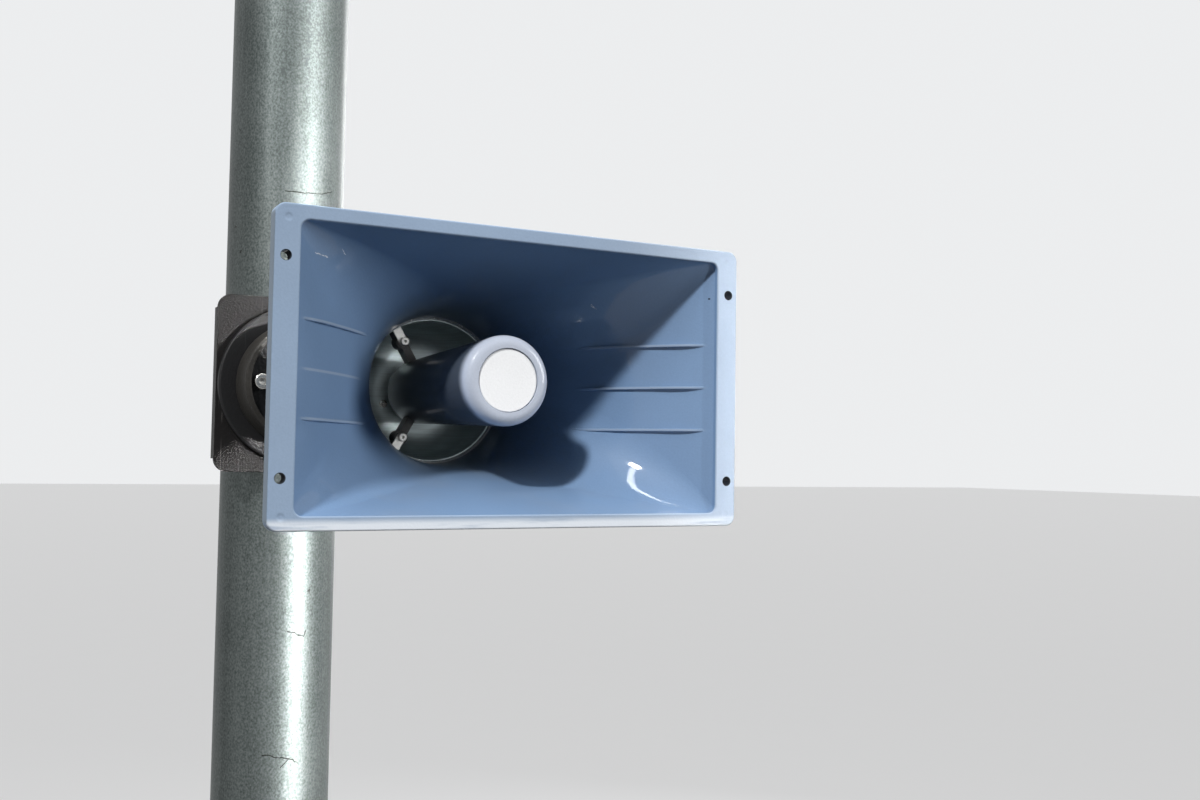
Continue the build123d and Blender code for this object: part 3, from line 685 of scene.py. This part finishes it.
forward, rearward = Vector((0, -1, 0)), Vector((0, 1, 0))
screw_low, screw_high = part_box("base_screws")
screw_radius = 0.0065
heads = circle_of_heads(
    Vector((0, screw_high.y, base_middle.z)),
    ring=(screw_high.x - screw_low.x) / 2 - screw_radius,
    count=4,
    first_turn=0.0,
    out=forward,
    radius=screw_radius,
    height=screw_high.y - screw_low.y,
    edge=0.0009,
    recess=hexagon(0.0026),
    depth=0.004,
    knurl=0.02,
)
piece = heads.laid("socket_screws", plated, "mast", "fixings", smooth=False)
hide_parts("base_screws")

cover_low, cover_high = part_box("cover_screws")
cover_radius = 0.0034
axis_height = (cover_low.z + cover_high.z) / 2
heads = circle_of_heads(
    Vector((0, cover_low.y, axis_height)),
    ring=math.hypot(cover_high.x - cover_radius, cover_high.x - cover_radius),
    count=4,
    first_turn=math.pi / 4,
    out=rearward,
    radius=cover_radius,
    height=cover_high.y - cover_low.y,
    edge=0.001,
    recess=cross(0.0021, 0.0005),
    depth=0.0014,
)
piece = heads.laid("cross_screws", plated, "horn", "fixings", smooth=False)
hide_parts("cover_screws")

# Horn: the bell, moulded in one piece in blue-grey plastic. The flare inside has kept its
# colour and gloss, with painted shade toward the throat and painted highlights on the rib
# crests. The outside has chalked to a paler grey, and the rim is paler as chalk and painted sheen.
bell_low, bell_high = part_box("horn_bell")
rim = Vector((0, bell_low.y, (bell_low.z + bell_high.z) / 2))
hole_across, hole_up = 0.1243, 0.05235
hole_shade_radius = 0.0027
dimple_across, dimple_up = 0.1235, 0.0705
dimple_radius = 0.0024
face_fade = (0.0003, 0.0009)
chalk_and_sheen_fade = (0.0005, 0.0016)
throat_shade_fade = (0.05, 0.14)
side_fade = (0.1296, 0.1299)
lower_fade = (-0.0745, -0.0705)
rib_pitch = 0.024
rib_start, rib_end = (0.005, 0.012), (0.055, 0.072)
crest_fade = (0.0004, 0.0009)
fresh_colour = (0.172, 0.27, 0.425, 1)
throat_shade_colour = (0.05, 0.07, 0.10, 1)
chalk_and_sheen_colour = (0.295, 0.385, 0.515, 1)
right_glare_colour = (0.43, 0.515, 0.635, 1)
lower_glare_colour = (0.78, 0.83, 0.89, 1)
flange_side_shade_colour = (0.11, 0.125, 0.12, 1)
pale_edge_colour = (0.46, 0.52, 0.60, 1)
glint_colour = (0.80, 0.83, 0.86, 1)
speck_and_shade_colour = (0.012, 0.014, 0.018, 1)
# Painted glints: short pale strokes on the flare near the mouth, on faces turned forward.
glint_strokes = (
    ((-0.1070, 0.0569), (-0.0995, 0.0562), 0.0006),
    ((-0.0919, 0.0609), (-0.0895, 0.0590), 0.0005),
    ((0.0634, 0.0479), (0.0664, 0.0458), 0.0007),
)
glint_wander = 0.0014
speck = (0.1152, 0.0504)
speck_fade = (0.0004, 0.0006)
gloss = {"Specular_IOR_Level": 0.08, "Coat_Roughness": 0.045}
material, tree, shader = start_material("horn plastic", **gloss)
body = use_group(tree, grain, Colour=(1.0, 1.0, 1.0, 1), Pebbles=900.0, Roughness=0.42)
across, along, up = parts_of(tree, surface(tree))
depth = along - rim.y
up = up - rim.z
sideways, lengthways, upwards = parts_of(tree, Field(tree, place(tree, "NewGeometry").outputs["Normal"]))
clouds = noise(tree, surface(tree), 16.0, 4.0)
streaks = noise(tree, surface(tree, (25.0, 60.0, 300.0)), 1.0, 4.0)
outside = (sideways * across + upwards * up).rises(0.001, 0.006)
outside = outside.or_more(lengthways.rises(0.3, 0.5))
# The rim's face is paler partly from chalking and partly as painted sheen; the outside is chalked.
chalk_and_sheen = depth.falls(*chalk_and_sheen_fade).or_more(outside)
chalk_and_sheen = (chalk_and_sheen * (clouds * 0.5 + 0.7)).capped()
# Painted shade: the bores of the holes in the rim are darkened nearly black.
hollow = off_point(tree, abs(across) - hole_across, abs(up) - hole_up)
hole_shade = hollow.falls(hole_shade_radius - 0.0001, hole_shade_radius + 0.0001)
# Painted glare: pale streaks along the lower edge of the rim's face.
lower_glare = up.falls(*lower_fade) * depth.falls(*face_fade) * streaks.rises(0.15, 0.5)
# Painted shade: the side faces of the flange are darkened.
flange_side_shade = abs(across).rises(*side_fade) * (clouds * 0.5 + 0.5)
dimple = off_point(tree, abs(across) - dimple_across, abs(up) - dimple_up)
dimple = dimple.falls(dimple_radius * 0.3, dimple_radius)
jitter = (noise(tree, surface(tree), 420.0, 3.0) - 0.5) * glint_wander
glint_mask = strokes(tree, across + jitter, up + jitter, glint_strokes)
glint_mask = glint_mask * lengthways.falls(-0.1, 0.0) * noise(tree, surface(tree), 900.0).rises(0.3, 0.6)
spot = off_point(tree, across - speck[0], up - speck[1]).falls(*speck_fade)
edges = use_group(tree, edge_marks, Radius=0.001, Amount=0.5)["Mask"]
# Ribs run level with the axis and one pitch above and below it.
off_rib = abs(abs(abs(up) - rib_pitch / 2) - rib_pitch / 2)
rib_highlight = depth.rises(*rib_start) * depth.falls(*rib_end) * off_rib.falls(*crest_fade) * (1.0 - outside)
# Painted shade: the flare is darkened toward the throat.
throat_shade = depth.rises(*throat_shade_fade) * (1.0 - outside)
settled = use_group(tree, dust, Amount=0.1)["Mask"]
# Painted glare: the rim and the outside grow paler toward the right side.
chalk_with_right_glare = mixed(tree, across.rises(0.0, 0.125), chalk_and_sheen_colour, right_glare_colour)
colour = mixed(tree, chalk_and_sheen, fresh_colour, chalk_with_right_glare)
colour = mixed(tree, 1.0, colour, body["Colour"], "MULTIPLY")
colour = mixed(tree, throat_shade * 0.55, colour, throat_shade_colour)
colour = mixed(tree, lower_glare, colour, lower_glare_colour)
colour = mixed(tree, flange_side_shade * 0.75, colour, flange_side_shade_colour)
# Worn edges are paled, and so are the rib crests as a painted highlight.
colour = mixed(tree, edges.or_more(rib_highlight) * 0.4, colour, pale_edge_colour)
colour = mixed(tree, settled, colour, dust_colour)
colour = mixed(tree, glint_mask * 0.85, colour, glint_colour)
colour = mixed(tree, spot.or_more(hole_shade) * 0.93, colour, speck_and_shade_colour)
rough = (body["Roughness"] + chalk_and_sheen * 0.1 + hole_shade * 0.4 + settled * 0.3).capped()
height = body["Height"] - dimple * 4.0 - glint_mask
finish_material(tree, shader, colour, rough, height, relief=0.00006)
shine = 0.5 - chalk_and_sheen * 0.5
tree.links.new(shine.socket, shader.inputs["Coat Weight"])
dress(material, "horn_bell")

# Collar, driver housing and rear cover: round mouldings of the same plastic behind the bell.
# A thin black rubber seal stands out a little at each joint between them.
housing_plastic = moulded(
    "housing plastic",
    (0.28, 0.37, 0.50),
    roughness=0.38,
    pebbles=850.0,
    relief=0.00007,
    dusty=0.35,
    edge_marking=0.15,
    edge_mark_colour=(0.40, 0.47, 0.56, 1),
    Specular_IOR_Level=0.3,
    Coat_Weight=0.15,
    Coat_Roughness=0.3,
)
dress(housing_plastic, "throat_collar", "driver_housing", "rear_cover")
rubber_black = (0.014, 0.014, 0.015)
rubber = moulded("black rubber", rubber_black, roughness=0.6, pebbles=600.0, relief=0.0002, dusty=0.3)
housing_low, housing_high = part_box("driver_housing")
housing_radius = (housing_high.x - housing_low.x) / 2
lathe_sides = 128
seal_half = 0.0007
seal_proud = 0.0004
seal_shoulder = seal_proud * 0.6
seal_sunk = 0.001


def lathe_rings(middle, axis, side, profile, sides=lathe_sides):
    """Rings of a turned shape about an axis, one for each turn, from (reach, radius) points."""
    lift = axis.cross(side)
    rings = []
    for corner in range(sides):
        turn = 2 * math.pi * corner / sides
        out = math.cos(turn) * side + math.sin(turn) * lift
        rings.append([middle + axis * reach + out * radius for reach, radius in profile])
    return rings


seals = Solid()
for joint in (housing_low.y, housing_high.y):
    profile = (
        (-seal_half, housing_radius - seal_sunk),
        (-seal_half, housing_radius + seal_shoulder),
        (0.0, housing_radius + seal_proud),
        (seal_half, housing_radius + seal_shoulder),
        (seal_half, housing_radius - seal_sunk),
    )
    seals.add_rings(lathe_rings(Vector((0, joint, axis_height)), rearward, Vector((1, 0, 0)), profile), True)
seals.laid("housing_seals", rubber, "horn", "housing_plastic")

# Lug: a tongue of cast metal on the rear cover, with a thin grey coat that has worn off its
# edges. The fork of the arm holds it, and the bolt goes through both.
lug_metal = moulded(
    "lug casting",
    (0.17, 0.18, 0.20),
    roughness=0.35,
    pebbles=420.0,
    relief=0.0003,
    dusty=0.3,
    edge_marking=0.5,
    edge_mark_colour=(0.42, 0.42, 0.41, 1),
)
dress(lug_metal, "tilt_lug")

# Cable gland: a moulded fitting under the housing, with a hexagon to hold it by, a ribbed
# grip below that, and a rubber seal in its mouth.
gland_plastic = moulded(
    "gland plastic",
    (0.06, 0.064, 0.072),
    roughness=0.38,
    pebbles=800.0,
    relief=0.0002,
    dusty=0.2,
    edge_marking=0.3,
    edge_mark_colour=(0.2, 0.2, 0.2, 1),
)
dress(gland_plastic, "cable_gland")
gland_low, gland_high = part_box("cable_gland")
gland_middle = Vector((0, (gland_low.y + gland_high.y) / 2, gland_low.z))
grip_radius = 0.0109
grip_ribs = 20
grip_sides = grip_ribs * 8
grip_relief = 0.0007
grip_middle, grip_swing = 0.6, 0.4
grip_chamfer = 0.0005
grip_bottom, grip_top = 0.0028, 0.0066
upright = Vector((0, 0, 1))
rings = []
grip_levels = ((grip_bottom, 0.0), (grip_bottom, 0.6), (grip_bottom + grip_chamfer, 1.0), (grip_top, 1.0))
for level, swell in grip_levels:
    ring = []
    for corner in range(grip_sides):
        turn = 2 * math.pi * corner / grip_sides
        rib = grip_middle + grip_swing * math.cos(turn * grip_ribs)
        radius = grip_radius + swell * grip_relief * rib
        ring.append(gland_middle + Vector((radius * math.cos(turn), radius * math.sin(turn), level)))
    rings.append(ring)
grip = Solid()
grip.add_rings(rings)
grip.laid("gland_grip", gland_plastic, "horn", "gland_plastic")
seal_level, seal_radius, seal_thickness = 0.0011, 0.0047, 0.0009
seal_sides = 12
seal_profile = []
for corner in range(seal_sides):
    turn = 2 * math.pi * corner / seal_sides
    reach = seal_level + seal_thickness * math.sin(turn)
    seal_profile.append((reach, seal_radius + seal_thickness * math.cos(turn)))
seal = Solid()
seal.add_rings(lathe_rings(gland_middle, upright, Vector((1, 0, 0)), seal_profile, sides=48), True)
seal.laid("gland_seal", rubber, "horn", "gland_plastic")

# Throat: a glossy ring, with painted highlights along its edges, and a bowl in satin metallic
# paint that turns the sound forward again. A tube brings the sound from the driver, and three
# screws hold the bowl to the driver.
# The ring's pale edges, at full strength, are painted highlights.
ring_plastic = moulded(
    "throat ring",
    (0.17, 0.21, 0.24),
    roughness=0.2,
    pebbles=900.0,
    relief=0.00004,
    dusty=0.0,
    edge_marking=1.0,
    edge_mark_colour=(0.75, 0.78, 0.80, 1),
    Coat_Weight=0.6,
    Coat_Roughness=0.04,
)
dress(ring_plastic, "throat_ring")
bowl_colour = (0.84, 0.98, 1.0)
bowl_paint = bare_metal("bowl paint", bowl_colour, roughness=0.36, lines=500.0, relief=0.00006, metallic=0.8)
dress(bowl_paint, "throat_bowl")
tube_black = (0.016, 0.018, 0.02)
dark_plastic = moulded("tube plastic", tube_black, roughness=0.35, pebbles=800.0, relief=0.0001, dusty=0.1)
dress(dark_plastic, "sound_tube")
dark_metal = (0.05, 0.05, 0.052)
driver_metal = bare_metal("driver metal", dark_metal, roughness=0.4, lines=300.0, relief=0.0002, metallic=0.6)
dress(driver_metal, "driver")
bowl_thickness = 0.0024
bowl_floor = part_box("throat_bowl")[1].y - bowl_thickness
head_sunk = 0.0002
heads = circle_of_heads(
    Vector((0, bowl_floor + head_sunk, axis_height)),
    ring=0.0196,
    count=3,
    first_turn=math.radians(203.5),
    out=forward,
    radius=0.0026,
    height=0.002,
    edge=0.0009,
    recess=cross(0.0015, 0.0004),
    depth=0.001,
)
heads.laid("driver_screws", plated, "horn", "driver_metal", smooth=False)

# Cup: a lavender-grey moulding, closed at the front and held over the tube by three legs. A
# pale disc is set in its face, and its side is painted dark as shade behind a lit band. Bright
# clips and hollow screws fix the legs to the wall of the bowl.
cup_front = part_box("reflector_cup")[0].y
cup_side_shade_colour = (0.065, 0.08, 0.105, 1)
face_colour = (0.50, 0.545, 0.635, 1)
pale_edge_colour = (0.5, 0.54, 0.6, 1)
lit_band_depth, shade_depth = 0.006, 0.016
cloud_depth = 0.006
gloss = {"Specular_IOR_Level": 0.2, "Coat_Weight": 0.5, "Coat_Roughness": 0.06}
material, tree, shader = start_material("cup plastic", **gloss)
body = use_group(tree, grain, Colour=(1.0, 1.0, 1.0, 1), Pebbles=900.0, Roughness=0.4)
along = parts_of(tree, surface(tree))[1]
clouds = noise(tree, surface(tree), 40.0, 4.0)
# Painted shade: the side is dark behind a lit band just back of the front.
face_and_lit_band = (along + clouds * cloud_depth).falls(cup_front + lit_band_depth, cup_front + shade_depth)
colour = mixed(tree, face_and_lit_band, cup_side_shade_colour, face_colour)
colour = mixed(tree, 1.0, colour, body["Colour"], "MULTIPLY")
edges = use_group(tree, edge_marks, Radius=0.001, Amount=0.4)["Mask"]
colour = mixed(tree, edges, colour, pale_edge_colour)
finish_material(tree, shader, colour, body["Roughness"], body["Height"], relief=0.00006)
dress(material, "reflector_cup")
dress(dark_plastic, "cup_leg_1", "cup_leg_2", "cup_leg_3")
disc_white = (0.93, 0.935, 0.94)
disc_plastic = moulded("disc plastic", disc_white, roughness=0.35, pebbles=900.0, relief=0.00008, dusty=0.0)
dress(disc_plastic, "cup_disc")
clip_metal = bare_metal("bright clip", (0.86, 0.86, 0.84), roughness=0.2, lines=700.0, relief=0.00003)
dress(clip_metal, "leg_clips", "leg_screws")

# Floor, light and camera. The light comes from high on the left, a long tube overhead makes
# the hooked glint in the flare, and a tall narrow lamp on the right draws the bright line down
# the pole. The camera stands left of the mouth and a little below its middle.
floor_half = 60.0
floor_colour = (0.27, 0.272, 0.275, 1)
speckle_colour = (0.22, 0.222, 0.225, 1)
floor_bounce = (0.05, 0.051, 0.052, 1)
floor_lift = 0.5
corners = [(x * floor_half, y * floor_half, 0) for x, y in ((-1, -1), (1, -1), (1, 1), (-1, 1))]
floor_mesh = bpy.data.meshes.new("floor")
floor_mesh.from_pydata(corners, [], [(0, 1, 2, 3)])
material, tree, shader = start_material("floor paint", Roughness=0.6, Emission_Strength=floor_lift)
speckle = noise(tree, surface(tree), 3.0, 4.0)
painted = mixed(tree, speckle * 0.2, floor_colour, speckle_colour)


def shown_share(tree):
    """One for the rays that show the background, which are those of sight and mirror images."""
    rays = place(tree, "LightPath").outputs
    shown = Field(tree, rays["Is Camera Ray"]).or_more(Field(tree, rays["Is Glossy Ray"]))
    return shown.or_more(Field(tree, rays["Is Transmission Ray"]))


seen = shown_share(tree)
tree.links.new(mixed(tree, seen, floor_bounce, painted).socket, shader.inputs["Base Color"])
lifted = mixed(tree, seen, (0, 0, 0, 1), (1.0, 1.0, 1.0, 1))
tree.links.new(lifted.socket, shader.inputs["Emission Color"])
floor_mesh.materials.append(material)
floor = bpy.data.objects.new("floor", floor_mesh)
bpy.context.scene.collection.objects.link(floor)

ambient = (0.028, 0.030, 0.034, 1)
backdrop = (0.84, 0.85, 0.86, 1)
world = bpy.data.worlds.new("studio")
bpy.context.scene.world = world
world.use_nodes = True
tree = world.node_tree
surroundings = mixed(tree, shown_share(tree), ambient, backdrop)
tree.links.new(surroundings.socket, tree.nodes["Background"].inputs["Color"])


def lamp(name, aim, offset, size, power, along=(0.0, 0.0, 1.0), spread=180.0):
    """Soft lamp at an offset from the point that it is turned towards, long one way."""
    light = bpy.data.lights.new(name, "AREA")
    light.shape = "RECTANGLE"
    light.size, light.size_y = size
    light.energy = power
    light.spread = math.radians(spread)
    fixture = bpy.data.objects.new(name, light)
    back = Vector(offset).normalized()
    side = Vector(along).cross(back).normalized()
    fixture.rotation_euler = Matrix((side, back.cross(side), back)).transposed().to_euler()
    fixture.location = aim + Vector(offset)
    fixture.visible_camera = False
    bpy.context.scene.collection.objects.link(fixture)


pole_middle = Vector((0, 0, rim.z))
lamp("key", rim, (-2.60, -1.89, 2.70), size=(0.3, 0.3), power=160.0)
lamp("tube", rim, (0.137, -0.48, 2.70), size=(0.13, 6.4), power=74.0, along=(0.887, 0.46, 0.0))
lamp("fill", rim, (1.75, -1.22, 0.55), size=(0.9, 0.9), power=31.0)
lamp("strip", pole_middle, (1.5, -2.7, -0.05), size=(0.18, 1.7), power=4.0, spread=5.6)
lamp("side", rim, (3.4, 0.9, 0.4), size=(1.2, 2.6), power=20.0)
lamp("rear", rim, (2.9, 3.3, 0.9), size=(1.3, 2.0), power=75.0)

camera = bpy.data.objects.new("camera", bpy.data.cameras.new("camera"))
bpy.context.scene.collection.objects.link(camera)
bpy.context.scene.camera = camera
camera.data.sensor_width = 36.0
camera.data.lens = 36.2
camera.data.clip_start = 0.02
eye_offset = Vector((-0.2562, -0.5657, -0.0418))
pan, tilt, roll = -27.9, 2.87, 0.88
camera.location = rim + eye_offset
aimed = Matrix.Rotation(math.radians(pan), 3, "Z") @ Matrix.Rotation(math.radians(90 + tilt), 3, "X")
camera.rotation_euler = (aimed @ Matrix.Rotation(math.radians(roll), 3, "Z")).to_euler()

bpy.context.scene.view_settings.view_transform = "Standard"
